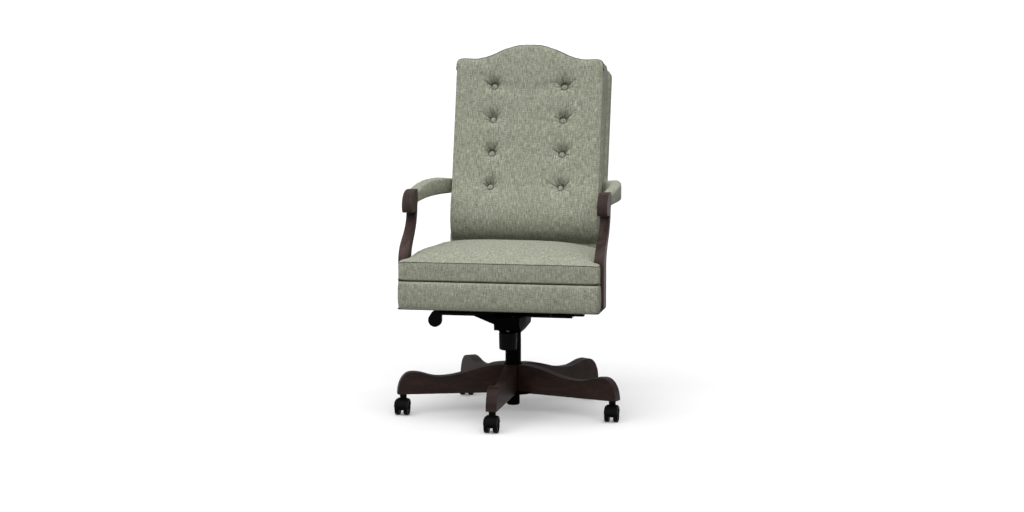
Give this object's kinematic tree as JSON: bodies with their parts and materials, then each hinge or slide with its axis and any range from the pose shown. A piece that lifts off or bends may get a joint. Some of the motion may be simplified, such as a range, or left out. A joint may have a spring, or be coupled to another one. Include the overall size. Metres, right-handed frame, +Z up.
{
  "type": "swivel office chair",
  "caption": "Executive swivel office chair: tufted camelback, T-cushion seat, scrolled wooden arms, gas lift, tilt mechanism and carved wooden star base on casters.",
  "frame": {"origin": "on the floor, on the axis of the gas lift column", "axes": "+Z up along the column, the chair faces -Y, +X towards the sitter's left hand"},
  "size_m": [0.7162, 0.8136, 1.1595],
  "materials": {
    "linen": "heathered sage-grey linen weave",
    "dark_wood": "dark espresso stain, satin lacquer",
    "black_plastic": "satin moulded nylon",
    "black_metal": "satin black powder coat",
    "steel": "zinc plated",
    "frame_wood": "raw hardwood and plywood",
    "nylon": "natural nylon",
    "rubber": "matt",
    "dust_cloth": "black spun-bonded cloth"
  },
  "bodies": {
    "base": {"leg_1": "dark_wood", "leg_2": "dark_wood", "leg_3": "dark_wood", "leg_4": "dark_wood", "leg_5": "dark_wood", "base_hub": "black_metal", "leg_screws": "steel", "caster_sockets": "steel", "lift_tube": "black_metal", "lift_bush": "nylon", "thrust_bearing": "steel"},
    "caster_1": {"caster_hood_1": "black_plastic", "caster_pins_1": "steel"},
    "wheels_1": {"caster_wheels_1": "black_plastic"},
    "caster_2": {"caster_hood_2": "black_plastic", "caster_pins_2": "steel"},
    "wheels_2": {"caster_wheels_2": "black_plastic"},
    "caster_3": {"caster_hood_3": "black_plastic", "caster_pins_3": "steel"},
    "wheels_3": {"caster_wheels_3": "black_plastic"},
    "caster_4": {"caster_hood_4": "black_plastic", "caster_pins_4": "steel"},
    "wheels_4": {"caster_wheels_4": "black_plastic"},
    "caster_5": {"caster_hood_5": "black_plastic", "caster_pins_5": "steel"},
    "wheels_5": {"caster_wheels_5": "black_plastic"},
    "spindle": {"piston_rod": "steel"},
    "lift": {"gas_cylinder": "black_metal", "column_socket": "black_metal", "mech_housing": "black_metal", "spring_tube": "black_metal", "tilt_bushes": "nylon", "torsion_spring": "rubber"},
    "release": {"release_pin": "steel"},
    "tension": {"tension_screw": "steel", "tension_knob": "black_plastic"},
    "height_lever": {"height_lever": "steel", "height_grip": "black_plastic"},
    "lock_lever": {"lock_lever": "steel", "lock_grip": "black_plastic"},
    "seat": {"tilt_axle": "steel", "seat_plate": "black_metal", "mount_bolts": "steel", "dust_cover": "dust_cloth", "seat_frame": "frame_wood", "seat_deck": "frame_wood", "seat_box_cover": "linen", "seat_cushion": "linen", "back_frame": "frame_wood", "back_shell": "linen", "back_cushion": "linen", "back_buttons": "linen", "arm_post_left": "dark_wood", "arm_post_right": "dark_wood", "arm_rails": "frame_wood", "arm_pad_left": "linen", "arm_pad_right": "linen", "arm_bolts": "steel"}
  },
  "joints": [
    {"name": "caster_swivel_1", "type": "hinge", "parent": "base", "child": "caster_1", "pos_m": [0, -0.352, 0.066], "axis": [0, 0, 1], "continuous": true},
    {"name": "wheel_roll_1", "type": "hinge", "parent": "caster_1", "child": "wheels_1", "pos_m": [0, -0.364, 0.025], "axis": [1, 0, 0], "continuous": true},
    {"name": "caster_swivel_2", "type": "hinge", "parent": "base", "child": "caster_2", "pos_m": [0.33477, -0.10877, 0.066], "axis": [0, 0, 1], "continuous": true},
    {"name": "wheel_roll_2", "type": "hinge", "parent": "caster_2", "child": "wheels_2", "pos_m": [0.33477, -0.12077, 0.025], "axis": [1, 0, 0], "continuous": true},
    {"name": "caster_swivel_3", "type": "hinge", "parent": "base", "child": "caster_3", "pos_m": [0.2069, 0.28477, 0.066], "axis": [0, 0, 1], "continuous": true},
    {"name": "wheel_roll_3", "type": "hinge", "parent": "caster_3", "child": "wheels_3", "pos_m": [0.2069, 0.27277, 0.025], "axis": [1, 0, 0], "continuous": true},
    {"name": "caster_swivel_4", "type": "hinge", "parent": "base", "child": "caster_4", "pos_m": [-0.2069, 0.28477, 0.066], "axis": [0, 0, 1], "continuous": true},
    {"name": "wheel_roll_4", "type": "hinge", "parent": "caster_4", "child": "wheels_4", "pos_m": [-0.2069, 0.27277, 0.025], "axis": [1, 0, 0], "continuous": true},
    {"name": "caster_swivel_5", "type": "hinge", "parent": "base", "child": "caster_5", "pos_m": [-0.33477, -0.10877, 0.066], "axis": [0, 0, 1], "continuous": true},
    {"name": "wheel_roll_5", "type": "hinge", "parent": "caster_5", "child": "wheels_5", "pos_m": [-0.33477, -0.12077, 0.025], "axis": [1, 0, 0], "continuous": true},
    {"name": "seat_swivel", "type": "hinge", "parent": "base", "child": "spindle", "pos_m": [0, 0, 0.036], "axis": [0, 0, 1], "continuous": true},
    {"name": "height_adjust", "type": "slide", "parent": "spindle", "child": "lift", "axis": [0, 0, 1], "range_m": [0, 0.09]},
    {"name": "seat_tilt", "type": "hinge", "parent": "lift", "child": "seat", "pos_m": [0, -0.045, 0.3336], "axis": [-1, 0, 0], "range_deg": [0, 14], "stiffness_Nm_per_rad": 120, "springref_deg": -34.38},
    {"name": "height_lever_lift", "type": "hinge", "parent": "lift", "child": "height_lever", "pos_m": [-0.053, 0, 0.313], "axis": [0, 1, 0], "range_deg": [0, 4], "stiffness_Nm_per_rad": 20, "springref_deg": -3.44},
    {"name": "release_press", "type": "slide", "parent": "lift", "child": "release", "axis": [0, 0, -1], "range_m": [0, 0.004], "stiffness_N_per_m": 500, "springref_m": -0.004},
    {"name": "lock_lever_turn", "type": "hinge", "parent": "lift", "child": "lock_lever", "pos_m": [0.1, 0, 0.313], "axis": [1, 0, 0], "range_deg": [0, 30]},
    {"name": "tension_turn", "type": "hinge", "parent": "lift", "child": "tension", "pos_m": [0, -0.09, 0.26], "axis": [0, 0, 1], "range_deg": [-360, 360]}
  ],
  "couplings": [
    {"joint": "release_press", "follows": "height_lever_lift", "m_per_rad": 0.053}
  ]
}
